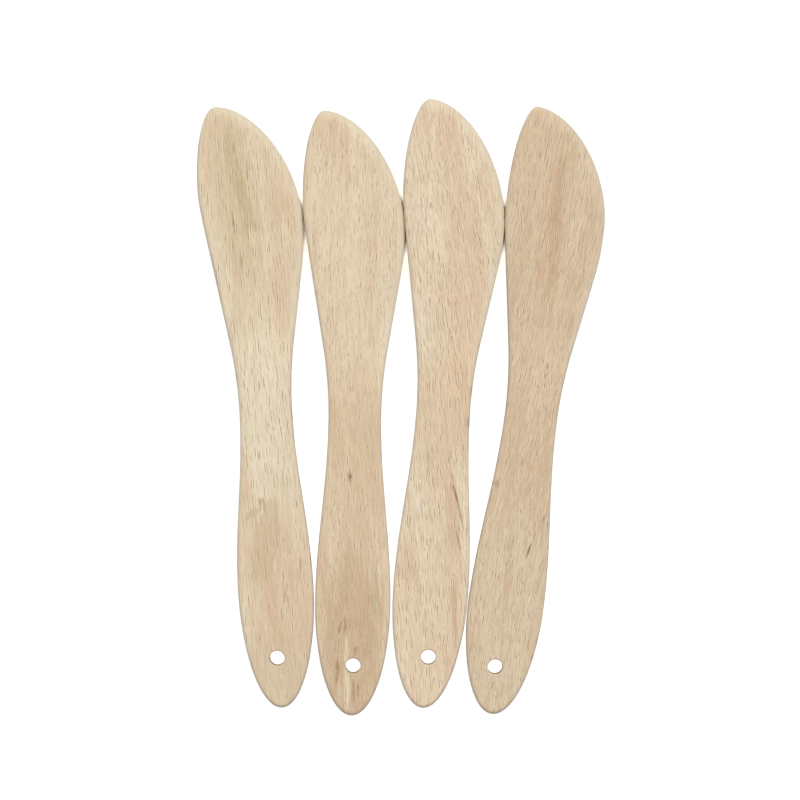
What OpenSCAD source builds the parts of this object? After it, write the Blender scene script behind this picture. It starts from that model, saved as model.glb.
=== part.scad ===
// Set of four wooden butter knives, each cut in one piece from a flat board.
// They lie side by side on the XY plane, +Z up, tips towards +Y, blades nearly touching.
// All four follow one pattern, with the small differences of work cut and drilled by hand.

/* [Pattern] */
// Length of a knife, from its butt to its tip
knife_length = 200; // [180:1:220]
// Widest place of the handle
handle_width = 24.7; // [22:0.1:28]
// Narrowest place, where the handle runs into the blade
neck_width = 17.4; // [15:0.1:20]
// Length of the rounded butt, up to the widest place of the handle
butt_length = 38; // [30:1:45]
// Distance of the neck from the butt's end
neck_from_butt = 98; // [90:1:105]
// Radius of the hollow curve beside the neck that opens into the blade
neck_radius = 142; // [120:1:180]
// Angle of the blade's straight flare to the knife's middle line, on each side
flare_angle = 9.45; // [9:0.05:10.5]

/* [Blade end] */
// Reach of the blade from the middle line to its spine, at the widest place
spine_reach = 18.3; // [17.5:0.1:20]
// Reach of the blade from the middle line to its belly, at the widest place
belly_reach = 15.9; // [15:0.1:18]
// Distance of the tip from the middle line, on the spine's side
tip_offset = 11.1; // [9:0.1:13]
// Length of the curve that takes the spine in to the tip
spine_curve_length = 27; // [20:1:35]
// Length of the curve that takes the belly round to the tip
belly_curve_length = 39; // [32:0.5:42]
// Softening of the two corners where the flare meets those curves
corner_softness = 0.3; // [0.1:0.1:1]

/* [Thickness] */
// Thickness of the handle, that of the board
board_thickness = 6; // [5:0.5:8]
// Thickness of the spine at the tip
tip_thickness = 4; // [3.5:0.1:4.5]
// Thickness of the blade along its belly, before the edge is bevelled
belly_thickness = 2; // [1.6:0.1:2.6]
// Length past the neck over which the blade is thinned down to its wedge
thinning_length = 32; // [20:1:45]

/* [Edges] */
// Radius of the sanded edges of the handle and the spine
edge_round = 1.2; // [0.8:0.1:1.4]
// Width of the bevel along the belly
bevel_width = 1.6; // [1.2:0.1:1.8]
// Height of the blunt edge that is left between the two bevels
edge_land = 0.6; // [0.4:0.1:0.9]

/* [Hanging hole] */
// Diameter of the hole drilled through the handle
hole_diameter = 5; // [4:0.5:6]
// Distance of the hole's middle from the butt's end
hole_from_butt = 16.2; // [14:0.1:20]
// Width of the small chamfer that eases the hole's rims
hole_chamfer = 0.3; // [0.2:0.1:0.5]

/* [Set] */
// Clear gap left where two neighbouring knives come closest, before each seam's own share
seam_clearance = 0.2; // [0.2:0.05:1]
// Lean of the first knife, counter-clockwise
first_lean_angle = 3.2; // [0:0.05:5]
// Lean of the second knife, counter-clockwise
second_lean_angle = -0.65; // [-2:0.05:2]
// Lean of the third knife, counter-clockwise
third_lean_angle = -4; // [-5:0.05:-2]
// Lean of the fourth knife, counter-clockwise
fourth_lean_angle = -7.6; // [-9:0.05:-5]
// Height of the first butt on the table's plan above the second one
butt_up_1 = 2.6; // [0:0.1:5]
// Height of the third butt on the table's plan above the second one
butt_up_3 = 2.5; // [0:0.1:5]
// Height of the fourth butt on the table's plan above the second one
butt_up_4 = 0.5; // [0:0.1:5]

/* [Hidden] */

// Facets round a drilled hole
hole_facets = 64;
// How far a cutter runs past the wood
overrun = 1;
// Stations along the butt, the grip, the straight blade and the blade's end
butt_steps = 12;
grip_steps = 12;
blade_steps = 14;
end_steps = 14;
// Steps round each sanded edge
edge_steps = 4;

// Lean and place up the plan of each knife
leans = [first_lean_angle, second_lean_angle, third_lean_angle, fourth_lean_angle];
butt_ups = [butt_up_1, 0, butt_up_3, butt_up_4];
// How far each knife's hole was drilled to the belly's side, as shares of the hole
drill_across_shares = [-0.15, 0.07, 0.15, -0.18];
// How far each knife's hole was drilled up the handle, as shares of the hole
drill_along_shares = [0.02, 0.02, 0.1, -0.14];
// How long each knife was cut, and how wide at the neck, the spine and the belly, as shares
length_cut_shares = [0.992, 0.994, 1, 1];
neck_cut_shares = [0.99, 0.995, 1.015, 0.99];
spine_cut_shares = [1.01, 0.985, 1.005, 0.955];
belly_cut_shares = [0.98, 0.99, 1.005, 0.995];
// How long each knife's belly curve and butt were cut
belly_curve_shares = [0.99, 1.01, 1.05, 0.96];
butt_cut_shares = [1.05, 0.98, 1.03, 0.95];
// How wide the closest place of each of the three seams is, as shares of the clear gap
seam_shares = [2.6, 0.75, 0.75];
// Colour of the wood of each knife, bare beech from pale to tan
wood_colours = ["#dcc7a6", "#d2b892", "#e0ccab", "#cdb18a"];

// Where the belly starts to curve, and where the blade's wedge is full
end_from_butt = knife_length - belly_curve_length;
wedge_from_butt = neck_from_butt + thinning_length;
// How far past the neck the hollow curve has turned to the flare's angle
flare_run = neck_radius * sin(flare_angle);

// Half width of the rounded butt: a quarter of an ellipse
function butt_half(y, length) = handle_width / 2 * sqrt(1 - pow(1 - y / length, 2));

// Half width of the grip: half a cosine wave from the widest place down to the neck
function grip_half(y, length, neck) =
    let (wave = cos(180 * (y - length) / (neck_from_butt - length)))
    (handle_width * (1 + wave) + neck * (1 - wave)) / 4;

// Half width past the neck: a hollow arc that runs out into a straight flare
function flare_half(past, neck) =
    neck / 2 + (past < flare_run
        ? neck_radius - sqrt(pow(neck_radius, 2) - pow(past, 2))
        : neck_radius * (1 - cos(flare_angle)) + (past - flare_run) * tan(flare_angle));

// Reach of the rounded end of the blade on one side: a quarter of an ellipse, with the tip
// given as the reach at the very end
function end_reach(y, reach, tip, length) =
    let (along = max(0, y - knife_length + length) / length)
    tip + (reach - tip) * sqrt(1 - pow(along, 2));

// Reach of the belly's end: the same with less than an ellipse's power of 2, so it bulges less
belly_power_share = 0.88;
function belly_end_reach(y, reach, length) =
    let (along = max(0, y - knife_length + length) / length, power = 2 * belly_power_share)
    (reach + tip_offset) * pow(1 - pow(along, power), 1 / power) - tip_offset;

// The lesser of two reaches, with the corner between them softened
function softer(a, b) = (a + b - sqrt(pow(a - b, 2) + pow(2 * corner_softness, 2))) / 2;

// Reach from the middle line at height y: the handle's, or the lesser of flare and end curve
function neck_of(k) = neck_width * neck_cut_shares[k];
function handle_half(y, k) =
    let (length = butt_length * butt_cut_shares[k])
    y < length ? butt_half(y, length) : grip_half(y, length, neck_of(k));
function spine_at(y, k) =
    y < neck_from_butt ? handle_half(y, k)
    : softer(flare_half(y - neck_from_butt, neck_of(k)),
             end_reach(y, spine_reach * spine_cut_shares[k], tip_offset, spine_curve_length));
function belly_at(y, k) =
    y < neck_from_butt ? handle_half(y, k)
    : softer(flare_half(y - neck_from_butt, neck_of(k)),
             belly_end_reach(y, belly_reach * belly_cut_shares[k],
                             belly_curve_length * belly_curve_shares[k]));

// The points of a knife at height y on the pattern, at the belly and at the spine
function belly_point(y, k) = [belly_at(y, k), y * length_cut_shares[k]];
function spine_point(y, k) = [-spine_at(y, k), y * length_cut_shares[k]];

// Stations from the butt to the tip, closer together at both ends, the two end points left out
stations = concat(
    [for (i = [1 : butt_steps]) butt_length * (1 - cos(90 * i / butt_steps))],
    [for (i = [1 : grip_steps]) butt_length + (neck_from_butt - butt_length) * i / grip_steps],
    [for (i = [1 : blade_steps])
        neck_from_butt + (end_from_butt - neck_from_butt) * i / blade_steps],
    [for (i = [1 : end_steps - 1]) end_from_butt + belly_curve_length * sin(90 * i / end_steps)]);
last = len(stations);
loop_count = 2 * last + 2;

// One knife's outline, counter-clockwise: the butt, up the belly's side, the tip, down the spine
function outline(k) = concat(
    [[0, 0]],
    [for (y = stations) belly_point(y, k)],
    [spine_point(knife_length, k)],
    [for (i = [last - 1 : -1 : 0]) spine_point(stations[i], k)]);

// A number eased from 0 to 1 as y goes from start to stop
function eased(y, start, stop) =
    let (t = min(1, max(0, (y - start) / (stop - start))))
    t * t * (3 - 2 * t);

// Thickness of the wood along the spine: the board's, drawn down towards the tip
function spine_thickness(y) =
    let (share = max(0, y - neck_from_butt) / (knife_length - neck_from_butt))
    board_thickness - (board_thickness - tip_thickness) * pow(share, 2);

// How much of the wedge has been cut at a place: 0 on the handle and spine, 1 at the belly
function wedge_share(p) =
    eased(p[1], neck_from_butt, wedge_from_butt)
    * min(1, max(0, (p[0] + spine_reach) / (spine_reach + belly_reach)));

// Wood taken off each face at a place, and the heights of the two faces that are left
function thinned(p) = wedge_share(p) * (spine_thickness(p[1]) - belly_thickness) / 2;
function top_z(p) = spine_thickness(p[1]) - thinned(p);
function bottom_z(p) = thinned(p);

// Width and height of the rounded or bevelled edge at a place on the outline
function edge_width(p) = edge_round + (bevel_width - edge_round) * wedge_share(p);
function edge_height(p) = min(edge_round, (top_z(p) - bottom_z(p) - edge_land) / 2);

// Direction into the wood at point i of a closed counter-clockwise loop
function inward(loop, i) =
    let (run = loop[(i + 1) % loop_count] - loop[(i + loop_count - 1) % loop_count])
    [-run[1], run[0]] / norm(run);

// The edge's section at one point of the outline, from the lower face round to the upper one
function edge_section(loop, i) =
    let (p = loop[i], into = inward(loop, i), wide = edge_width(p), high = edge_height(p))
    concat(
        [for (j = [edge_steps : -1 : 0])
            let (a = 90 * j / edge_steps, q = p + into * wide * (1 - cos(a)))
            [q[0], q[1], bottom_z(q) + high * (1 - sin(a))]],
        [for (j = [0 : edge_steps])
            let (a = 90 * j / edge_steps, q = p + into * wide * (1 - cos(a)))
            [q[0], q[1], top_z(q) - high * (1 - sin(a))]]);
ring = 2 * edge_steps + 2;

// Two triangles for the four corners of a patch, given clockwise as seen from outside
function patch(a, b, c, d) = [[a, b, c], [a, c, d]];

// The lofted blank: sanded edges all round, closed by strips from the belly's side to the spine's
module blank(k) {
    loop = outline(k);
    points = [for (i = [0 : loop_count - 1]) each edge_section(loop, i)];
    edge_faces = [for (i = [0 : loop_count - 1]) each [for (j = [0 : ring - 2]) each
        let (n = (i + 1) % loop_count)
        patch(i * ring + j, i * ring + j + 1, n * ring + j + 1, n * ring + j)]];
    top_faces = [for (i = [0 : last]) each
        let (a = i, b = i + 1, c = loop_count - i - 1, d = (loop_count - i) % loop_count)
        i == 0 ? [[a * ring + ring - 1, c * ring + ring - 1, b * ring + ring - 1]]
        : i == last ? [[a * ring + ring - 1, d * ring + ring - 1, b * ring + ring - 1]]
        : patch(a * ring + ring - 1, d * ring + ring - 1, c * ring + ring - 1, b * ring + ring - 1)];
    bottom_faces = [for (i = [0 : last]) each
        let (a = i, b = i + 1, c = loop_count - i - 1, d = (loop_count - i) % loop_count)
        i == 0 ? [[a * ring, b * ring, c * ring]]
        : i == last ? [[a * ring, b * ring, d * ring]]
        : patch(a * ring, b * ring, c * ring, d * ring)];
    polyhedron(points, concat(edge_faces, top_faces, bottom_faces));
}

// The drill and the two countersinks that ease its rims
module hole_cutter() {
    translate([0, 0, -overrun])
        cylinder(h = board_thickness + 2 * overrun, d = hole_diameter, $fn = hole_facets);
    for (face = [0, 1])
        translate([0, 0, face * board_thickness])
            mirror([0, 0, face])
                translate([0, 0, -overrun])
                    cylinder(h = overrun + hole_chamfer,
                             d1 = hole_diameter + 2 * (hole_chamfer + overrun),
                             d2 = hole_diameter, $fn = hole_facets);
}

// Where the hole goes in a knife's own frame, a little off the pattern's place
function hole_place(k) = [
    hole_diameter * drill_across_shares[k],
    hole_from_butt + hole_diameter * drill_along_shares[k]];

// A point turned by a knife's lean and moved up the plan to its butt's place
function leant(p, k) = [
    p[0] * cos(leans[k]) - p[1] * sin(leans[k]),
    p[0] * sin(leans[k]) + p[1] * cos(leans[k]) + butt_ups[k]];

// Both sides of a leaning knife, and how far it must lie from its left neighbour
function belly_points(k) = [for (y = stations) leant(belly_point(y, k), k)];
function spine_table(k) =
    [for (y = stations) let (p = leant(spine_point(y, k), k)) [p[1], p[0]]];
function pitch_to(k) =
    let (table = spine_table(k))
    seam_clearance * seam_shares[k - 1]
    + max([for (p = belly_points(k - 1)) p[0] - lookup(p[1], table)]);

// Places of the four butts, each knife laid against the one before it
butt_x_2 = pitch_to(1);
butt_x_3 = butt_x_2 + pitch_to(2);
butt_x_4 = butt_x_3 + pitch_to(3);
butt_xs = [0, butt_x_2, butt_x_3, butt_x_4];

// The middle of the whole set on the plan, which becomes the origin
set_points = [for (k = [0 : 3]) each [for (p = outline(k)) leant(p, k) + [butt_xs[k], 0]]];
set_x = [for (p = set_points) p[0]];
set_y = [for (p = set_points) p[1]];
middle = [(min(set_x) + max(set_x)) / 2, (min(set_y) + max(set_y)) / 2];

// One finished knife in its place in the set
module knife(k) {
    place = hole_place(k);
    color(wood_colours[k])
        translate([butt_xs[k] - middle[0], butt_ups[k] - middle[1], 0])
            rotate([0, 0, leans[k]])
                difference() {
                    blank(k);
                    translate([place[0], place[1], 0]) hole_cutter();
                }
}

module knife_1() { knife(0); }
module knife_2() { knife(1); }
module knife_3() { knife(2); }
module knife_4() { knife(3); }

knife_1();
knife_2();
knife_3();
knife_4();
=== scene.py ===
# %% [markdown]
# Four butter knives lie side by side on a pale table. Each is sawn from a flat beech board, thinned to a
# wedge along the blade, sanded round its edges and drilled for hanging. The CAD model fixes where they
# lie, so the scene loads it first, and every piece is then made in metres in that same frame.

import bmesh
import bpy
import numpy as np
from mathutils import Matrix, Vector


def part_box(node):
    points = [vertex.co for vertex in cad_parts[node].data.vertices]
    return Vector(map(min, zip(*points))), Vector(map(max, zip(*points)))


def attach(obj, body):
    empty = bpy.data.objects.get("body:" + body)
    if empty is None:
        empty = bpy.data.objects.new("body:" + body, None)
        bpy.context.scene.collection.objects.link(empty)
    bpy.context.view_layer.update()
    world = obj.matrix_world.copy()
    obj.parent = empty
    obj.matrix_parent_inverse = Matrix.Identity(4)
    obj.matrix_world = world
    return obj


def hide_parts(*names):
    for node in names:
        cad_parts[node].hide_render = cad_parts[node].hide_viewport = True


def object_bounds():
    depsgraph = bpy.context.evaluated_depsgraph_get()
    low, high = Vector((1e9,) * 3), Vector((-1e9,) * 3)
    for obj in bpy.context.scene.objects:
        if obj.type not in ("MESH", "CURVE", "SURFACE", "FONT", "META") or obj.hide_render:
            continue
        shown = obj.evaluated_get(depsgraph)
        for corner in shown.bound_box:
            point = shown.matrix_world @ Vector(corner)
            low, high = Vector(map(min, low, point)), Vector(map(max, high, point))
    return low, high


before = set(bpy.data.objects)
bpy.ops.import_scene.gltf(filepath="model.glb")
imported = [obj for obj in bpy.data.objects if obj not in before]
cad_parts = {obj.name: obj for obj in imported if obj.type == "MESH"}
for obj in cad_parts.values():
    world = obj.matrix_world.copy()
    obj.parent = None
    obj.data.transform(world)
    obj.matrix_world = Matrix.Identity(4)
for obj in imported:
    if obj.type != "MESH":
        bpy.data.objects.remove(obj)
cad_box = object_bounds()
print("CAD box in metres", [round(b - a, 4) for a, b in zip(*cad_box)])

# %% [markdown]
# A knife's outline could be traced with points, but a maker draws it with a few round sizes: a width for
# the handle, one for the neck, a radius, an angle. The same sizes are repeated here from the part's
# source, in metres. Each knife was cut a little differently by hand, which its own row of shares gives.

# %% The pattern that all four follow
KNIFE_LENGTH = 0.200
HANDLE_WIDTH = 0.0247
NECK_WIDTH = 0.0174
BUTT_LENGTH = 0.038
NECK_FROM_BUTT = 0.098
NECK_RADIUS = 0.142
FLARE_ANGLE = np.radians(9.45)
SPINE_REACH = 0.0183
BELLY_REACH = 0.0159
TIP_OFFSET = 0.0111
SPINE_CURVE_LENGTH = 0.027
BELLY_CURVE_LENGTH = 0.039
SPINE_POWER = 2
BELLY_POWER = 1.76
CORNER_SOFTNESS = 0.0003
BOARD_THICKNESS = 0.006
TIP_THICKNESS = 0.004
BELLY_THICKNESS = 0.002
THINNING_LENGTH = 0.032
EDGE_ROUND = 0.0012
BEVEL_WIDTH = 0.0016
EDGE_LAND = 0.0006
ROLL_WIDTH = 0.0036
ROLL_DROP = 0.0003
HOLE_DIAMETER = 0.005
HOLE_FROM_BUTT = 0.0162
HOLE_CHAMFER = 0.0003
print("blade length in metres", round(KNIFE_LENGTH - NECK_FROM_BUTT, 4))

# %% How each knife was cut, drilled and laid down
CUTS = {
    "knife_1": dict(lean=3.2, length=0.992, butt=1.05, neck=0.99, spine=1.01, belly=0.98, curve=0.99,
                    drill=(-0.15, 0.02)),
    "knife_2": dict(lean=-0.65, length=0.994, butt=0.98, neck=0.995, spine=0.985, belly=0.99, curve=1.01,
                    drill=(0.07, 0.02)),
    "knife_3": dict(lean=-4.0, length=1.0, butt=1.03, neck=1.015, spine=1.005, belly=1.005, curve=1.05,
                    drill=(0.15, 0.1)),
    "knife_4": dict(lean=-7.6, length=1.0, butt=0.95, neck=0.99, spine=0.955, belly=0.995, curve=0.96,
                    drill=(-0.18, -0.14)),
}
print("knives to make:", ", ".join(CUTS))

# %% [markdown]
# The half width of a handle is one formula along its length, and a blade's is the lesser of two: the
# flare that opens it and the curve that closes it. Taking whole arrays of heights at once keeps each
# formula to a line or two, with no loop over points.

# %% Half widths and reaches along a knife
def handle_half(y, butt, neck):
    """Half width of the handle: a quarter ellipse round the butt, then half a cosine wave to the neck."""
    round_end = HANDLE_WIDTH / 2 * np.sqrt(np.clip(1 - (1 - y / butt) ** 2, 0, 1))
    wave = np.cos(np.pi * (y - butt) / (NECK_FROM_BUTT - butt))
    grip = (HANDLE_WIDTH * (1 + wave) + neck * (1 - wave)) / 4
    return np.where(y < butt, round_end, grip)


def flare_half(past, neck):
    """Half width past the neck: a hollow arc of the neck's radius, then a straight line."""
    run = NECK_RADIUS * np.sin(FLARE_ANGLE)
    arc = NECK_RADIUS - np.sqrt(NECK_RADIUS ** 2 - np.clip(past, 0, run) ** 2)
    return neck / 2 + arc + np.maximum(past - run, 0) * np.tan(FLARE_ANGLE)


def end_curve(y, reach, tip, length, power):
    """Reach round the blade's end: it falls to the tip's reach as (1 - along^power)^(1/power)."""
    along = np.clip((y - KNIFE_LENGTH + length) / length, 0, 1)
    return tip + (reach - tip) * (1 - along ** power) ** (1 / power)


def softer(a, b):
    """The lesser of two reaches, with the corner between them rounded by a hyperbola."""
    return (a + b - np.sqrt((a - b) ** 2 + (2 * CORNER_SOFTNESS) ** 2)) / 2


def spine_and_belly(y, cut):
    """Reach of the outline to the spine's side and to the belly's side, at heights y from the butt."""
    neck = NECK_WIDTH * cut["neck"]
    handle = handle_half(y, BUTT_LENGTH * cut["butt"], neck)
    flare = flare_half(y - NECK_FROM_BUTT, neck)
    spine = end_curve(y, SPINE_REACH * cut["spine"], TIP_OFFSET, SPINE_CURVE_LENGTH, SPINE_POWER)
    belly = end_curve(y, BELLY_REACH * cut["belly"], -TIP_OFFSET,
                      BELLY_CURVE_LENGTH * cut["curve"], BELLY_POWER)
    blade = (softer(flare, end) for end in (spine, belly))
    return [np.where(y < NECK_FROM_BUTT, handle, side) for side in blade]


print("half width of a grip in metres", round(float(handle_half(BUTT_LENGTH, BUTT_LENGTH, NECK_WIDTH)), 5))

# %% The outline as a closed loop of points
LOOP_HALF = 300


def outline(cut):
    """Points from the butt up the belly's side to the tip and down the spine's side, closer at both ends.

    The heights follow half a cosine wave, so that round ends get as many points as their curve needs.
    """
    y = KNIFE_LENGTH * (1 - np.cos(np.linspace(0, np.pi, LOOP_HALF + 1))) / 2
    spine, belly = spine_and_belly(y, cut)
    y = y * cut["length"]
    up = np.column_stack([belly, y])
    down = np.column_stack([-spine, y])[-2:0:-1]
    return np.vstack([up, down])


print("points round each outline:", len(outline(CUTS["knife_1"])))

# %% [markdown]
# The two broad faces of a real knife are planed flat on the handle and thinned towards the belly of the
# blade. As formulas they are heights over the plan, so any point of any grid can be lifted to its face.

# %% Heights of the two faces
def blade_share(y):
    """0 up to the neck, then a smooth rise to 1 over the length in which the blade is thinned."""
    along = np.clip((y - NECK_FROM_BUTT) / THINNING_LENGTH, 0, 1)
    return along ** 2 * (3 - 2 * along)


def wedge_share(x, y):
    """How far the blade is thinned: nothing at the spine or the neck, all of it along the belly."""
    across = np.clip((x + SPINE_REACH) / (SPINE_REACH + BELLY_REACH), 0, 1)
    return blade_share(y) * across


def faces_at(x, y, depth):
    """Heights of the lower and the upper face, at a depth in from the belly's side of the edge.

    The spine falls towards the tip by a square law. Along the belly and round the tip sandpaper has
    rolled both faces over a little as well: by a drop times (1 - depth / width)^2.
    """
    share = np.clip((y - NECK_FROM_BUTT) / (KNIFE_LENGTH - NECK_FROM_BUTT), 0, 1)
    spine = BOARD_THICKNESS - (BOARD_THICKNESS - TIP_THICKNESS) * share ** 2
    thinned = wedge_share(x, y) * (spine - BELLY_THICKNESS) / 2
    rolled = ROLL_DROP * blade_share(y) * (1 - np.clip(depth / ROLL_WIDTH, 0, 1)) ** 2
    return thinned + rolled, spine - thinned - rolled


# Painted highlight: the blade is paled towards the belly's edge, where its rolled slope faces the light.
def sanded(y, depth):
    """How much painted highlight the rolled slope by the belly's edge gets: (1 - depth / width)^3."""
    return blade_share(y) * (1 - np.clip(depth / ROLL_WIDTH, 0, 1)) ** 3


def belly_depth(plan, loop):
    """Distance from each point of a plan to the nearest point on the belly's side of a loop."""
    apart = plan.reshape(-1, 1, 2) - loop[:LOOP_HALF + 1]
    return np.sqrt((apart ** 2).sum(-1).min(1)).reshape(plan.shape[:-1])


print("faces at the belly, 150 mm up", [round(float(z), 4) for z in faces_at(BELLY_REACH, 0.15, 0)])

# %% [markdown]
# The edge is a quarter round above, a narrow upright land and a quarter round below. A Bevel modifier
# could cut it, but only at one width, and this one widens to a bevel along the belly. So it is a profile
# carried along the outline: each of its rows is the outline moved inwards and up by the formula.

# %% The sanded edge, carried along the outline
EDGE_STEPS = 8


def inward(loop):
    """Unit vectors square to a counter-clockwise loop, pointing to its inside."""
    along = np.roll(loop, -1, axis=0) - np.roll(loop, 1, axis=0)
    across = np.column_stack([-along[:, 1], along[:, 0]])
    return across / np.linalg.norm(across, axis=1, keepdims=True)


def edge_rows(loop):
    """Rows of points round the edge from the upper face to the lower one, with two numbers for each point.

    At angle a the row is moved in by width x (1 - cos a), and lies height x (1 - sin a) off its face. The
    numbers are how far out on the rim a point is, and how much painted highlight its column gets at the
    belly.
    """
    width = EDGE_ROUND + (BEVEL_WIDTH - EDGE_ROUND) * wedge_share(loop[:, 0], loop[:, 1])
    angles = np.linspace(np.pi / 2, 0, EDGE_STEPS + 1)[:, None]
    plan = loop + inward(loop) * (width * (1 - np.cos(angles)))[..., None]
    depth = belly_depth(plan[0], plan[0])
    low, high = faces_at(loop[:, 0], loop[:, 1], depth)
    height = np.minimum(EDGE_ROUND, (high - low - EDGE_LAND) / 2)
    low, high = faces_at(plan[..., 0], plan[..., 1], depth)
    drop = height * (1 - np.sin(angles))
    upper = np.dstack([plan, high - drop])
    lower = np.dstack([plan, low + drop])[::-1]
    out = np.cos(angles) * np.ones(len(loop))
    # The share of painted highlight along the belly, for every row of the edge.
    painted_highlight = sanded(loop[:, 1], depth) * np.ones_like(out)
    return np.vstack([upper, lower]), np.vstack([out, out[::-1]]), np.vstack([painted_highlight, painted_highlight])


print("rows of points round an edge:", 2 * (EDGE_STEPS + 1))

# %% [markdown]
# A flat face with a hole is awkward for one grid. Here the blade's end is a grid of straight rows from
# edge to edge, and the butt's end a grid of rings that shrink from its outline to the drilled rim. Both
# use the edge's own points, so the seams close exactly when doubles are merged.

# %% The face grids and the drilled wall
ACROSS = 26
RINGS = 20
WALL_ROWS = 7
GRID_SPLIT = 0.035
RIM_RADIUS = HOLE_DIAMETER / 2 + HOLE_CHAMFER


def plate_grids(inner, hole):
    """The plan of one broad face: rows across the blade and grip, then rings from the butt to the hole."""
    split = int(np.searchsorted(inner[:LOOP_HALF, 1], GRID_SPLIT))
    rows = np.arange(split, LOOP_HALF + 1)
    share = (1 - np.cos(np.linspace(0, np.pi, ACROSS + 1)[:, None])) / 2
    strips = inner[rows][:, None] * (1 - share) + inner[-rows][:, None] * share
    rim = np.vstack([strips[0], inner[np.arange(1 - split, split)]])
    toward = rim - hole
    drilled = hole + toward / np.linalg.norm(toward, axis=1, keepdims=True) * RIM_RADIUS
    share = np.linspace(0, 1, RINGS + 1)[:, None, None]
    return strips, rim * (1 - share) + drilled * share


def drilled_wall(rim, hole):
    """Rows down the hole: the chamfer of the upper rim, the wall, and the chamfer of the lower rim."""
    low, high = faces_at(*hole, depth=ROLL_WIDTH)
    inside = hole + (rim - hole) * HOLE_DIAMETER / (HOLE_DIAMETER + 2 * HOLE_CHAMFER)
    wall = np.linspace(high - HOLE_CHAMFER, low + HOLE_CHAMFER, WALL_ROWS)
    plans = [rim] + [inside] * len(wall) + [rim]
    heights = [high, *wall, low]
    return np.stack([np.column_stack([plan, np.full(len(rim), z)]) for plan, z in zip(plans, heights)])


print("face grids:", ACROSS, "quads across the blade,", RINGS, "rings round the hole")

# %% [markdown]
# Each grid becomes quads by numbering its points row by row. The knife is then turned by its lean and
# moved so that it fills its CAD solid's box. Three attributes go with the points, which the finish reads
# later: how far out on the rounded rim a point is, how squarely the wood's fibres end there, and how much
# painted highlight it gets by the belly's edge.

# %% Grids to one closed mesh
MERGE_DISTANCE = 1e-6
CREASE_ANGLE = np.radians(32)


def quads(rows, columns, first, closed):
    """Corner numbers of a grid's faces, with its last column joined to the first where it is closed."""
    number = first + np.arange(rows * columns).reshape(rows, columns)
    if closed:
        number = np.column_stack([number, number[:, 0]])
    corners = [number[:-1, :-1], number[:-1, 1:], number[1:, 1:], number[1:, :-1]]
    return np.stack(corners, axis=-1).reshape(-1, 4)


def knife_grids(cut):
    """Every grid of one knife as (points, closed, how far out, how much end grain, how much painted
    highlight).
    """
    loop = outline(cut)
    rows, out, painted_highlight = edge_rows(loop)
    hole = np.array([0, HOLE_FROM_BUTT]) + HOLE_DIAMETER * np.array(cut["drill"])
    strips, rings = plate_grids(rows[0, :, :2], hole)
    grids = [(rows, True, out, out * np.abs(inward(loop)[:, 1]), painted_highlight)]
    for plan, closed in ((strips, False), (rings, True)):
        depth = belly_depth(plan, rows[0, :, :2])
        for height in faces_at(plan[..., 0], plan[..., 1], depth):
            none = np.zeros(plan.shape[:2])
            grids.append((np.dstack([plan, height]), closed, none, none, sanded(plan[..., 1], depth)))
    wall = drilled_wall(rings[-1], hole)
    out = np.ones(wall.shape[:2])
    out[[0, -1]] = 0
    facing = np.abs(wall[..., 1] - hole[1]) / (HOLE_DIAMETER / 2)
    grids.append((wall, True, out, out * np.clip(facing, 0, 1), np.zeros(wall.shape[:2])))
    return grids


def laid_down(points, lean, box):
    """Points turned by the knife's lean and moved into the box of its CAD solid, and how far they moved."""
    turn = np.radians(lean)
    x = points[:, 0] * np.cos(turn) - points[:, 1] * np.sin(turn)
    y = points[:, 0] * np.sin(turn) + points[:, 1] * np.cos(turn)
    placed = np.column_stack([x, y, points[:, 2]])
    low, high = np.array(box[0]), np.array(box[1])
    shift = (low + high) / 2 - (placed.min(0) + placed.max(0)) / 2
    shift[2] = low[2] - placed[:, 2].min()
    return placed + shift, shift


def knife_mesh(name, cut):
    """One knife as a closed, smooth-shaded mesh in its place, and where its butt's middle lies."""
    grids = knife_grids(cut)
    points = np.vstack([g[0].reshape(-1, 3) for g in grids])
    starts = np.cumsum([0] + [g[0].shape[0] * g[0].shape[1] for g in grids])
    faces = np.vstack([quads(*g[0].shape[:2], first, g[1]) for g, first in zip(grids, starts)])
    placed, butt = laid_down(points, cut["lean"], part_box(name))
    mesh = bpy.data.meshes.new(name + "_wood")
    mesh.from_pydata(placed, [], faces)
    for attribute, column in (("rim", 2), ("end_grain", 3), ("sanded", 4)):
        values = np.concatenate([g[column].ravel() for g in grids])
        mesh.attributes.new(attribute, "FLOAT", "POINT").data.foreach_set("value", values)
    shell = bmesh.new()
    shell.from_mesh(mesh)
    bmesh.ops.remove_doubles(shell, verts=shell.verts, dist=MERGE_DISTANCE)
    bmesh.ops.recalc_face_normals(shell, faces=shell.faces)
    open_edges = sum(not edge.is_manifold for edge in shell.edges)
    shell.to_mesh(mesh)
    shell.free()
    mesh.polygons.foreach_set("use_smooth", np.ones(len(mesh.polygons), bool))
    mesh.set_sharp_from_angle(angle=CREASE_ANGLE)
    print(name, "faces", len(mesh.polygons), "open edges", open_edges)
    return mesh, butt


# %% [markdown]
# Wood needs dozens of nodes, and wiring them one by one hides the idea. A small class wraps a socket, so
# that sums and products of masks read like the formulas they are and add their own Math nodes.

# %% A small bench for shader maths
class Signal:
    """A node's output. Reckoning with it adds Math nodes to its own material."""

    def __init__(self, bench, socket):
        self.bench = bench
        self.socket = socket

    def __add__(self, other):
        return self.bench.math("ADD", self, other)

    def __sub__(self, other):
        return self.bench.math("SUBTRACT", self, other)

    def __rsub__(self, other):
        return self.bench.math("SUBTRACT", other, self)

    def __mul__(self, other):
        return self.bench.math("MULTIPLY", self, other)

    def __truediv__(self, other):
        return self.bench.math("DIVIDE", self, other)

    def __abs__(self):
        return self.bench.math("ABSOLUTE", self)

    __radd__ = __add__
    __rmul__ = __mul__

    def rise(self, start, end):
        """A smooth step: 0 at start and beyond it, 1 at end."""
        settings = {"interpolation_type": "SMOOTHSTEP"}
        return self.bench.node("ShaderNodeMapRange", settings, {0: self, 1: start, 2: end})


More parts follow.
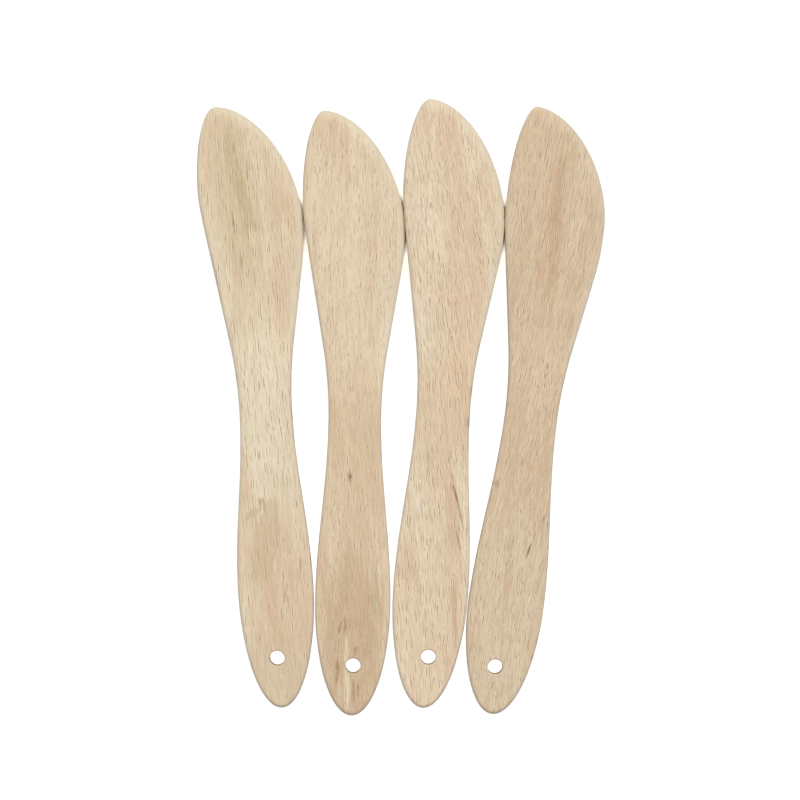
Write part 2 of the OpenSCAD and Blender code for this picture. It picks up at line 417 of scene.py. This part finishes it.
class Bench:
    """The nodes of one material, and short ways to add the ones that wood needs."""

    def __init__(self, name):
        self.material = bpy.data.materials.new(name)
        self.material.use_nodes = True
        self.tree = self.material.node_tree
        self.tree.nodes.clear()

    def node(self, kind, settings=None, inputs=None, out=0):
        """Adds a node, sets its settings first, then its sockets' values or links, and gives one output."""
        node = self.tree.nodes.new(kind)
        for setting, value in (settings or {}).items():
            setattr(node, setting, value)
        for key, value in (inputs or {}).items():
            if isinstance(value, Signal):
                self.tree.links.new(value.socket, node.inputs[key])
            else:
                node.inputs[key].default_value = value
        return None if out is None else Signal(self, node.outputs[out])

    def finished(self, surface):
        """Links the surface to the material's output, and gives the material."""
        self.node("ShaderNodeOutputMaterial", None, {"Surface": surface}, out=None)
        return self.material

    def math(self, operation, *terms):
        return self.node("ShaderNodeMath", {"operation": operation}, dict(enumerate(terms)))

    def vector(self, operation, *terms):
        return self.node("ShaderNodeVectorMath", {"operation": operation}, dict(enumerate(terms)))

    def parts(self, vector):
        """The three numbers of a vector."""
        return [self.node("ShaderNodeSeparateXYZ", None, {0: vector}, out) for out in range(3)]

    def joined(self, x, y, z):
        return self.node("ShaderNodeCombineXYZ", None, {0: x, 1: y, 2: z})

    def mix(self, share, first, second, blend="MIX"):
        """Two colours mixed by a share of the second."""
        settings = {"data_type": "RGBA", "blend_type": blend}
        return self.node("ShaderNodeMix", settings, {0: share, 6: first, 7: second}, out=2)

    def blend(self, share, first, second):
        """Two shaders mixed by a share of the second."""
        return self.node("ShaderNodeMixShader", None, {0: share, 1: first, 2: second})

    def noise(self, place, detail=2.0, roughness=0.5):
        """Soft noise between about 0.3 and 0.7, one wave for each unit of the place."""
        inputs = {"Vector": place, "Scale": 1.0, "Detail": detail, "Roughness": roughness}
        return self.node("ShaderNodeTexNoise", {"noise_dimensions": "3D"}, inputs)


def paint(code):
    """A colour as written on screen, such as dcc7a6, in the linear values that shaders use."""
    screen = np.array([int(code[i:i + 2], 16) for i in (0, 2, 4)]) / 255
    linear = np.where(screen > 0.04045, ((screen + 0.055) / 1.055) ** 2.4, screen / 12.92)
    return (*linear.tolist(), 1.0)


print("a beech tint in linear values", [round(part, 3) for part in paint("dcc7a6")[:3]])

# %% [markdown]
# Beech is told by its flecks: thousands of short dark dashes, pointed at both ends, that lie along the
# grain. A stretched noise gives stripes, not dashes. A Voronoi texture gives one point for each cell, and
# from the way to that point a dash can be drawn, narrower towards its two ends.

# %% Millimetres along and across the grain
PER_MILLIMETRE = 0.001
BLOCK_STEP = 41.0
WANDER_SIZE = (25, 40, 30)
FLECK_ENDS = 4.0
FAINTEST = 0.35
SIDES = 2.6
print("slow waves of the grain in millimetres", WANDER_SIZE)


def own_place(bench, butt, lean):
    """The knife's own millimetres: across from its middle line, along from its butt, up through the board."""
    place = bench.node("ShaderNodeTexCoord", out="Object")
    inputs = {"Vector": place, "Location": tuple(butt), "Rotation": (0, 0, np.radians(lean)),
              "Scale": (PER_MILLIMETRE,) * 3}
    return bench.node("ShaderNodeMapping", {"vector_type": "TEXTURE"}, inputs)


def along_the_grain(bench, own, wood, block):
    """The same millimetres straightened along the fibres, which lean and wander across the knife.

    The fibres' slope is a parabola through its values at the butt, the middle and the tip. Across is
    moved by that slope summed up along the knife, which is a cubic, and by slow noise.
    """
    across, along, up = bench.parts(own)
    length = KNIFE_LENGTH / PER_MILLIMETRE
    c, b, a = np.polyfit([0, length / 2, length], np.tan(np.radians(wood["grain"])), 2)
    shift = along * (along * (along * (c / 3) + b / 2) + a)
    wide, long, deep = WANDER_SIZE
    wander = bench.noise(bench.joined(across / wide, along / long, up / deep + block), 1.0) - 0.5
    return bench.joined(across + shift + wander * wood["wander"], along, up + block * BLOCK_STEP)


def flecks(bench, grain, cell, half, share, strength):
    """Short dashes along the grain, one for each cell that gets one: a dark core and its pale sides.

    Half the width of a dash is its greatest half width times 1 - (how far along)^4, so it ends in points.
    Each cell's own chance numbers say whether it has a dash, how long it is and how strong. Strengths are
    squares of chance numbers, so that most dashes are faint and a few stand out.
    """
    cells = bench.vector("DIVIDE", grain, cell)
    settings = {"voronoi_dimensions": "3D", "feature": "F1"}
    inputs = {"Vector": cells, "Scale": 1.0, "Randomness": 1.0}
    chance = bench.node("ShaderNodeTexVoronoi", settings, inputs, out="Color")
    point = bench.node("ShaderNodeTexVoronoi", settings, inputs, out="Position")
    across, along, _ = bench.parts(bench.vector("MULTIPLY", bench.vector("SUBTRACT", cells, point), cell))
    has_one, length, depth = bench.parts(chance)
    reach = along / (length * half[1] + 0.5 * half[1])
    width = (1 - bench.math("POWER", abs(reach), FLECK_ENDS)) * half[0]
    core = (width - abs(across)).rise(-half[0], half[0])
    sides = (width - abs(across) / SIDES).rise(-half[0], half[0])
    worth = has_one.rise(share + 0.02, share - 0.02) * (depth * depth * (1 - FAINTEST) + FAINTEST) * strength
    return core * worth, sides * worth


# %% [markdown]
# Each knife came from another place in the board, so its own dictionary says how its grain leans, how
# strong its flecks are and which broad tints cross it. Single marks, such as a small knot, are ellipses
# in the knife's own millimetres with their borders frayed by the fibres.

# %% The boards the knives were cut from
# Each board's rubbing share is how strongly the painted highlight along the belly shows.
BOARDS = {
    "knife_1": dict(
        grain=(2.4, 2.4, 0.5), wander=1.5, base="e1cdaf", light="e5d5b8", pink="dec1a2", tan="d1b794",
        bands=0.15, fleck="88653c", fibre=0.08, highlight_share=0.35,
        long=((0.95, 5.5, 9.0), (0.11, 2.3), 0.62, 1.0), short=((0.55, 2.6, 5.0), (0.08, 0.9), 0.45, 0.45)),
    "knife_2": dict(
        grain=(2.5, 3.0, -2.5), wander=2.2, base="dec6a7", light="e5d2b4", pink="dcbd9f", tan="cdb08d",
        bands=0.3, fleck="87633a", fibre=0.09, highlight_share=0.35,
        long=((1.0, 4.0, 8.0), (0.16, 1.1), 0.65, 0.72), short=((0.65, 2.4, 5.0), (0.11, 0.8), 0.5, 0.45)),
    "knife_3": dict(
        grain=(6.0, 10.5, 12.0), wander=1.2, base="e6d1b3", light="ead9bd", pink="e1c2a4", tan="d7ba96",
        bands=0.2, fleck="835d31", fibre=0.09, highlight_share=0.3,
        long=((0.8, 4.4, 7.0), (0.105, 1.8), 0.85, 0.95), short=((0.55, 3.0, 5.0), (0.08, 1.1), 0.6, 0.5)),
    "knife_4": dict(
        grain=(0.0, -3.4, -2.4), wander=1.6, base="d9be9f", light="dec8a9", pink="d4b292", tan="c7a988",
        bands=0.45, fleck="7a552c", fibre=0.11, highlight_share=0.15,
        long=((0.85, 4.0, 8.0), (0.105, 1.5), 0.75, 1.0), short=((0.55, 2.4, 5.0), (0.08, 0.9), 0.6, 0.6)),
}
MARKS = {
    "knife_1": [
        dict(at=(-6.0, 168.0), half=(9.0, 34.0), lean=4, colour="d0bd98", strength=0.6, fray=0.25),
        dict(at=(-7.0, 181.0), half=(2.6, 13.0), lean=8, colour="c3ae87", strength=0.5, fray=0.8),
        dict(at=(-2.2, 162.0), half=(2.2, 14.0), lean=9, colour="bfa981", strength=0.5, fray=0.8),
        dict(at=(-5.7, 184.6), half=(0.3, 2.6), lean=2, colour="8f7a58", strength=0.6, fray=0.4),
        dict(at=(-4.7, 179.0), half=(0.3, 2.8), lean=3, colour="8f7a58", strength=0.6, fray=0.4),
        dict(at=(-1.7, 176.0), half=(0.3, 3.4), lean=1, colour="85704e", strength=0.7, fray=0.4),
        dict(at=(-7.4, 174.6), half=(0.3, 3.0), lean=5, colour="8f7a58", strength=0.6, fray=0.4),
        dict(at=(-7.1, 159.8), half=(0.35, 4.0), lean=4, colour="937450", strength=0.7, fray=0.4),
        dict(at=(-0.1, 157.8), half=(0.3, 2.6), lean=3, colour="8f7a58", strength=0.6, fray=0.4),
        dict(at=(-5.2, 146.9), half=(0.35, 3.6), lean=2, colour="8f7a58", strength=0.6, fray=0.4),
        dict(at=(7.1, 165.0), half=(4.0, 10.0), lean=12, colour="dcbd9e", strength=0.5, fray=0.4),
        dict(at=(7.0, 136.0), half=(5.0, 14.0), lean=0, colour="dfbfa0", strength=0.45, fray=0.5),
        dict(at=(-1.0, 98.0), half=(11.0, 36.0), lean=0, colour="ebdfc3", strength=0.83, fray=0.15),
        dict(at=(3.0, 34.0), half=(13.0, 36.0), lean=10, colour="dbc0a1", strength=0.6, fray=0.25),
        dict(at=(0.0, 8.0), half=(13.0, 18.0), lean=0, colour="ccb898", strength=0.35, fray=0.25),
        dict(at=(-2.4, 54.5), half=(4.2, 14.0), lean=-12, colour="cfb190", strength=0.5, fray=0.25, soft=0.2),
        dict(at=(-1.4, 35.4), half=(2.5, 14.0), lean=2, colour="d6b393", strength=0.45, fray=0.6),
        dict(at=(-5.4, 64.5), half=(1.6, 5.5), lean=-58, colour="bfa580", strength=0.5, fray=0.9),
        dict(at=(-3.2, 67.8), half=(0.9, 1.8), lean=-20, colour="a98e68", strength=0.55, fray=0.9),
        dict(at=(3.0, 36.8), half=(0.35, 4.0), lean=-12, colour="a37e5b", strength=0.7, fray=0.9),
        dict(at=(3.9, 34.5), half=(0.3, 3.0), lean=2, colour="a37e5b", strength=0.6, fray=0.9),
        dict(at=(8.6, 46.7), half=(0.3, 2.8), lean=-3, colour="ab8462", strength=0.6, fray=0.8),
    ],
    "knife_2": [
        dict(at=(0.0, 148.0), half=(18.0, 52.0), lean=0, colour="e8d8bc", strength=0.55, fray=0.2),
        dict(at=(0.0, 98.0), half=(11.0, 28.0), lean=0, colour="d6b998", strength=0.36, fray=0.2),
        dict(at=(-3.7, 184.0), half=(1.6, 13.0), lean=2, colour="dcb796", strength=0.45, fray=0.8),
        dict(at=(5.0, 150.0), half=(2.5, 20.0), lean=-2, colour="dfbc9c", strength=0.35, fray=0.8),
        dict(at=(3.1, 189.4), half=(2.0, 7.5), lean=19, colour="ecdcc0", strength=0.5, fray=0.4),
        dict(at=(0.0, 22.0), half=(12.5, 40.0), lean=0, colour="c8ab8a", strength=0.78, fray=0.25),
        dict(at=(7.3, 40.1), half=(1.5, 10.5), lean=0, colour="c6b594", strength=0.7, fray=0.5),
        dict(at=(10.0, 36.0), half=(0.5, 9.0), lean=0, colour="d8b484", strength=0.7, fray=0.4),
        dict(at=(-4.1, 28.8), half=(0.3, 2.2), lean=-15, colour="98754f", strength=0.7, fray=0.7),
        dict(at=(-2.5, 31.3), half=(0.4, 2.6), lean=5, colour="a07d58", strength=0.65, fray=0.7),
        dict(at=(-2.5, 28.5), half=(0.3, 2.4), lean=-12, colour="98754f", strength=0.6, fray=0.7),
        dict(at=(1.1, 21.0), half=(0.6, 2.0), lean=-10, colour="ae8b66", strength=0.6, fray=0.6),
        dict(at=(-2.1, 20.5), half=(0.75, 6.0), lean=-1, colour="e9dabb", strength=0.75, fray=0.35),
        dict(at=(-1.6, 9.4), half=(1.5, 8.5), lean=3, colour="e7d6b6", strength=0.9, fray=0.3),
        dict(at=(-4.0, 6.9), half=(0.7, 4.4), lean=6, colour="dccbaa", strength=0.7, fray=0.5),
        dict(at=(-4.9, 14.2), half=(0.5, 7.0), lean=-2, colour="a8845c", strength=0.7, fray=0.6),
        dict(at=(0.7, 8.0), half=(0.7, 5.0), lean=4, colour="b18d63", strength=0.75, fray=0.5),
        dict(at=(2.1, 8.3), half=(0.4, 3.8), lean=1, colour="a27c53", strength=0.6, fray=0.6),
        dict(at=(-1.3, 78.4), half=(1.2, 2.2), lean=8, colour="9a7b5c", strength=0.5, fray=0.5),
        dict(at=(-1.3, 78.65), half=(0.6, 0.8), lean=0, colour="5f4a33", strength=0.95, fray=0.1),
    ],
    "knife_3": [
        dict(at=(6.0, 130.0), half=(8.0, 62.0), lean=8, colour="e2c1a2", strength=0.6, fray=0.3),
        dict(at=(-6.0, 130.0), half=(5.0, 60.0), lean=6, colour="ebdcc0", strength=0.45, fray=0.4),
        dict(at=(0.0, 98.0), half=(11.0, 28.0), lean=0, colour="dbbd9b", strength=0.45, fray=0.2),
        dict(at=(5.4, 62.0), half=(2.6, 14.0), lean=9, colour="d5b493", strength=0.6, fray=0.4),
        dict(at=(8.6, 66.0), half=(1.2, 8.5), lean=13, colour="ecdcc0", strength=0.7, fray=0.4),
        dict(at=(6.0, 70.6), half=(0.5, 4.2), lean=20, colour="967552", strength=0.9, fray=0.15),
        dict(at=(7.9, 64.4), half=(0.45, 6.6), lean=16, colour="9c7b57", strength=0.85, fray=0.2),
        dict(at=(7.8, 55.9), half=(0.45, 4.6), lean=16, colour="9d7c59", strength=0.8, fray=0.25),
        dict(at=(10.8, 43.8), half=(0.3, 3.0), lean=17, colour="a8845e", strength=0.6, fray=0.6),
        dict(at=(8.6, 104.6), half=(0.6, 2.0), lean=0, colour="a07f5e", strength=0.8, fray=0.3),
        dict(at=(8.5, 95.0), half=(0.6, 2.5), lean=0, colour="8d6f50", strength=0.85, fray=0.3),
        dict(at=(7.9, 34.0), half=(1.0, 11.0), lean=5, colour="c9a27c", strength=0.6, fray=0.7),
        dict(at=(-1.2, 55.1), half=(0.7, 1.3), lean=4, colour="d39f80", strength=0.6, fray=0.4),
        dict(at=(-5.8, 66.0), half=(1.4, 2.2), lean=20, colour="efe6d2", strength=0.5, fray=0.5),
    ],
    "knife_4": [
        dict(at=(1.0, 32.0), half=(12.0, 48.0), lean=0, colour="dfcfb3", strength=0.6, fray=0.3),
        dict(at=(-0.4, 160.0), half=(2.4, 34.0), lean=3, colour="c1a27f", strength=0.55, fray=0.8),
        dict(at=(-0.7, 47.0), half=(1.6, 16.0), lean=2, colour="cdab88", strength=0.45, fray=0.6),
        dict(at=(4.9, 54.8), half=(0.45, 3.0), lean=-12, colour="6a5640", strength=1.0, fray=0.1),
        dict(at=(3.1, 115.7), half=(0.4, 1.6), lean=-6, colour="86694b", strength=0.7, fray=0.2),
        dict(at=(2.8, 112.2), half=(0.35, 1.4), lean=-6, colour="86694b", strength=0.6, fray=0.2),
        dict(at=(-8.7, 75.3), half=(1.3, 1.7), lean=8, colour="b09b79", strength=0.6, fray=0.5),
    ],
}
print("single marks:", sum(len(marks) for marks in MARKS.values()))

# %% [markdown]
# Bare beech has no gloss, only sanded fibres. Its rounded edges carry painted grey shade, the blade by its
# belly's edge a painted highlight, and end grain is darker. Tints are mixed in turn, from the broadest to
# the finest, because each real layer shows through the next.

# %% The finish: bare sanded beech
GRAIN_NOISES = {
    "fray": ((1.0, 10.0, 6.0), 5.0), "tint": ((5.0, 50.0, 20.0), 1.0), "blush": ((3.5, 30.0, 17.0), 1.0),
    "band": ((2.2, 160.0, 25.0), 2.0), "fibre": ((0.6, 6.0, 4.0), 2.0), "hair": ((0.35, 3.0, 2.0), 1.0),
}
PALE_FIBRE = "fae8ca"
PALE_BY_FLECK = "f6e4c8"
# The pale tint of the painted highlight along the belly.
HIGHLIGHT_TINT = "e8dec6"
# A grey tint painted on the rounded edges as their shade.
EDGE_SHADE_TINT = "cdc8b8"
END_GRAIN = "9c8a6e"
FRAY_REACH = 4.0
MARK_BORDER = 1.1
MARK_SOFTNESS = 0.6
TINTED, SPOTTED, FIBROUS, HAIRY = (0.35, 0.68), (0.5, 0.75), (0.4, 0.7), (0.5, 0.25)
BLUSH_SHARE = 0.8
SIDES_SHARE = 0.8
EDGE_SHADE_SHARE = 0.45
LAND_FROM = 0.8
END_FROM_TO = (0.1, 0.9)
END_SHARE = 0.28
ROUGHNESS = 0.55
FLECK_RELIEF = 0.00006
print("sizes of noise in the finish:", ", ".join(GRAIN_NOISES))


def marks_on(bench, own, fray, colour, marks):
    """Lays each single mark over the colour: an ellipse round its own middle with a frayed border."""
    for mark in marks:
        inputs = {"Vector": own, "Location": (*mark["at"], 0), "Rotation": (0, 0, np.radians(mark["lean"])),
                  "Scale": (*mark["half"], 1000.0)}
        inside = bench.node("ShaderNodeMapping", {"vector_type": "TEXTURE"}, inputs)
        from_middle = bench.node("ShaderNodeVectorMath", {"operation": "LENGTH"}, {0: inside}, out="Value")
        mask = (from_middle + (fray - 0.5) * (FRAY_REACH * mark["fray"])).rise(
            MARK_BORDER, MARK_BORDER - mark.get("soft", MARK_SOFTNESS))
        colour = bench.mix(mask * mark["strength"], colour, paint(mark["colour"]))
    return colour


def beech(name, cut, butt, block):
    """Bare beech for one knife: tints, bands and fibres under two sizes of flecks, darker on end grain."""
    wood = BOARDS[name]
    bench = Bench(name + "_beech")
    own = own_place(bench, butt, cut["lean"])
    grain = along_the_grain(bench, own, wood, block)
    fray, tint, blush, band, fibre, hair = (
        bench.noise(bench.vector("DIVIDE", grain, size), detail) for size, detail in GRAIN_NOISES.values())
    colour = bench.mix(tint.rise(*TINTED), paint(wood["base"]), paint(wood["light"]))
    colour = bench.mix(blush.rise(*SPOTTED) * BLUSH_SHARE, colour, paint(wood["pink"]))
    colour = bench.mix(band.rise(*SPOTTED) * wood["bands"], colour, paint(wood["tan"]))
    colour = marks_on(bench, own, fray, colour, MARKS[name])
    colour = bench.mix(fibre.rise(*FIBROUS) * wood["fibre"] * 2, colour, paint(wood["fleck"]))
    colour = bench.mix(hair.rise(*HAIRY) * wood["fibre"] * 2, colour, paint(PALE_FIBRE))
    cores, sides = zip(flecks(bench, grain, *wood["long"]), flecks(bench, grain, *wood["short"]))
    dark = bench.math("MAXIMUM", *cores)
    colour = bench.mix(bench.math("MAXIMUM", *sides) * SIDES_SHARE, colour, paint(PALE_BY_FLECK))
    colour = bench.mix(dark, colour, paint(wood["fleck"]))
    rim, end, painted_highlight = (bench.node("ShaderNodeAttribute", {"attribute_name": attribute}, out="Fac")
                        for attribute in ("rim", "end_grain", "sanded"))
    # Painted highlight: the blade is paled by the belly's edge, where its rolled slope faces the light.
    colour = bench.mix(painted_highlight * wood["highlight_share"], colour, paint(HIGHLIGHT_TINT))
    # Painted shade: the rounded rim is tinted grey, fading out on the upright land, for the grey of the
    # edges' shade.
    colour = bench.mix(rim * rim.rise(1.0, LAND_FROM) * EDGE_SHADE_SHARE, colour, paint(EDGE_SHADE_TINT))
    colour = bench.mix(end.rise(*END_FROM_TO) * END_SHARE, colour, paint(END_GRAIN))
    height = (fibre * 0.5 - dark) * 0.3
    bump = bench.node("ShaderNodeBump", None, {"Strength": 0.35, "Distance": FLECK_RELIEF, "Height": height},
                      out="Normal")
    rough = fibre * 0.15 + ROUGHNESS + end * 0.1
    inputs = {"Base Color": colour, "Roughness": rough, "Normal": bump, "IOR": 1.45,
              "Specular IOR Level": 0.2}
    surface = bench.node("ShaderNodeBsdfPrincipled", None, inputs, out="BSDF")
    return bench.finished(surface)


# %% [markdown]
# The CAD solids have the right shape in broad facets. Each is replaced by its finer twin, which rides on
# the same body, so that lifting a knife in any pose carries its wood with it.

# %% Make the four knives
for block, (name, cut) in enumerate(CUTS.items()):
    mesh, butt = knife_mesh(name, cut)
    knife = bpy.data.objects.new(name + "_wood", mesh)
    bpy.context.scene.collection.objects.link(knife)
    mesh.materials.append(beech(name, cut, butt, block))
    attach(knife, name)
    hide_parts(name)
    nodes = len(mesh.materials[0].node_tree.nodes)
    print(name, "butt at", [round(float(v), 5) for v in butt], "nodes", nodes)

# %% [markdown]
# The set was photographed from straight above with a long lens, on white. A floor that glowed white would
# hide the soft shade in the seams between the blades. This one is pale paint, and only the camera sees a
# little glow added to it, which lifts it to white everywhere but in the deepest shade.

# %% The floor and the white around it
FLOOR_SIZE = 6.0
FLOOR_DROP = 0.00005
FLOOR_PAINT = "bcbcbc"
OPEN_GLOW = 0.78
GAP_GLOW = 0.95
# A cream tint in the glow of the gaps between the blades: painted warm light off the wood.
GAP_PAINTED_WARM_LIGHT = "fff5e4"
# Painted shade: brown paint and a brown glow for the tight slots between the blades, for their shade and the
# light off the wood.
SLOT_SHADE_GLOW = "4c3a1e"
SLOT_SHADE_PAINT = "86682e"
SHADE_REACH = 0.02
SHADE_RAYS = 64
BLADES_FROM = 0.035
BLADES_BLEND = 0.005
SLOT_SKY = (0.11, 0.19)
GAP_SKY = (0.2, 0.45)
NEAR_REACH = 1.03
print("the floor shows the slots' brown from", BLADES_FROM, "m along")


def white_to_the_eye(bench):
    """1 for rays from the camera, or seen in gloss or through glass, and 0 for the light itself."""
    seen = [bench.node("ShaderNodeLightPath", None, None, ray)
            for ray in ("Is Camera Ray", "Is Glossy Ray", "Is Transmission Ray")]
    return bench.math("MAXIMUM", bench.math("MAXIMUM", seen[0], seen[1]), seen[2])


def close_by(bench, place):
    """1 on the part of the floor that the set lies on, and 0 farther out."""
    across, along, _ = bench.parts(place)
    reach = bench.math("MAXIMUM", abs(across) / cad_box[1][0], abs(along) / cad_box[1][1])
    return bench.math("LESS_THAN", reach, NEAR_REACH)


def glowing_paint(bench, colour, hue, strength):
    """Matt paint with a glow added to it, both given as colour codes."""
    matt = bench.node("ShaderNodeBsdfDiffuse", None, {"Color": paint(colour)})
    glow = bench.node("ShaderNodeEmission", None, {"Color": paint(hue), "Strength": strength})
    return bench.node("ShaderNodeAddShader", None, {0: matt, 1: glow})


def floor_material():
    """Pale paint that shows as white, and nothing at all from below, so the undersides can be looked at.

    Close by the set the glow follows how much sky a spot sees: fuller in the holes and gaps, where less
    light falls, and a painted cream between the blades, for warm light off the wood. In the tight slots
    there, paint and glow are brown: painted shade, with the brown of the light off the wood that alone
    reaches them. No two branches share a paint, so that the sky is only looked for where the eye sees the
    near part of the floor.
    """
    bench = Bench("floor_paint")
    place = bench.node("ShaderNodeTexCoord", out="Object")
    along = bench.parts(place)[1]
    seen = white_to_the_eye(bench)
    sky_seen = bench.node("ShaderNodeAmbientOcclusion", {"samples": SHADE_RAYS}, {"Distance": SHADE_REACH},
                          out="AO")
    handles = along.rise(BLADES_FROM, BLADES_FROM - BLADES_BLEND)
    open_slot = bench.math("MAXIMUM", sky_seen.rise(*SLOT_SKY), handles)
    bare, far_glow, blade_gap, handle_gap, wide_gap, painted_slot_shade = (
        glowing_paint(bench, colour, hue, level)
        for colour, hue, level in ((FLOOR_PAINT, "ffffff", 0), (FLOOR_PAINT, "ffffff", OPEN_GLOW),
                                   (FLOOR_PAINT, GAP_PAINTED_WARM_LIGHT, GAP_GLOW), (FLOOR_PAINT, "ffffff", GAP_GLOW),
                                   (FLOOR_PAINT, "ffffff", OPEN_GLOW), (SLOT_SHADE_PAINT, SLOT_SHADE_GLOW, GAP_GLOW)))
    far = bench.blend(seen, bare, far_glow)
    gap = bench.blend(handles, blade_gap, handle_gap)
    # Painted shade in the tight slots, and painted cream light in the blade gaps beside them.
    near = bench.blend(open_slot, painted_slot_shade, bench.blend(sky_seen.rise(*GAP_SKY), gap, wide_gap))
    lit = bench.blend(seen * close_by(bench, place), far, near)
    clear = bench.node("ShaderNodeBsdfTransparent")
    below = bench.node("ShaderNodeNewGeometry", out="Backfacing")
    return bench.finished(bench.blend(below, lit, clear))


half = FLOOR_SIZE / 2
corners = [(-half, -half, -FLOOR_DROP), (half, -half, -FLOOR_DROP), (half, half, -FLOOR_DROP),
           (-half, half, -FLOOR_DROP)]
floor_mesh = bpy.data.meshes.new("floor")
floor_mesh.from_pydata(corners, [], [(0, 1, 2, 3)])
floor_mesh.materials.append(floor_material())
floor = bpy.data.objects.new("floor", floor_mesh)
bpy.context.scene.collection.objects.link(floor)

# %% [markdown]
# The light on the set is soft and even, a little stronger from its far side. A lamp close by would light
# one knife more than the next. A sun with a wide disc lights all four alike, and a plain sky fills the
# shade.

# %% The light: an even sky, and a soft sun from the upper right
SKY_STRENGTH = 0.62
SUN_STRENGTH = 2.05
SUN_SPREAD = np.radians(30)
SUN_TILT = (np.radians(-55), np.radians(12), 0)

world = bpy.data.worlds.new("studio")
bpy.context.scene.world = world
world.use_nodes = True
sky = world.node_tree.nodes["Background"]
sky.inputs["Color"].default_value = (1, 1, 1, 1)
sky.inputs["Strength"].default_value = SKY_STRENGTH
sun_light = bpy.data.lights.new("sun", "SUN")
sun_light.energy = SUN_STRENGTH
sun_light.angle = SUN_SPREAD
sun = bpy.data.objects.new("sun", sun_light)
sun.rotation_euler = SUN_TILT
bpy.context.scene.collection.objects.link(sun)

# %% [markdown]
# The knives were seen from straight above and from far off, so that their sides hardly show. A camera
# without perspective would do, but a long lens high up keeps the slight spread that a real one gives.

# %% The camera, straight above
VIEW_WIDTH = 0.2633
VIEW_MIDDLE = (-0.00031, 0.00221)
LENS = 130.0
SENSOR = 36.0

camera_data = bpy.data.cameras.new("camera")
camera_data.lens = LENS
camera_data.sensor_width = SENSOR
camera = bpy.data.objects.new("camera", camera_data)
camera.location = (*VIEW_MIDDLE, BOARD_THICKNESS / 2 + VIEW_WIDTH * LENS / SENSOR)
bpy.context.scene.collection.objects.link(camera)
bpy.context.scene.camera = camera
bpy.context.scene.view_settings.view_transform = "Standard"
print("camera height", round(camera.location.z, 3))
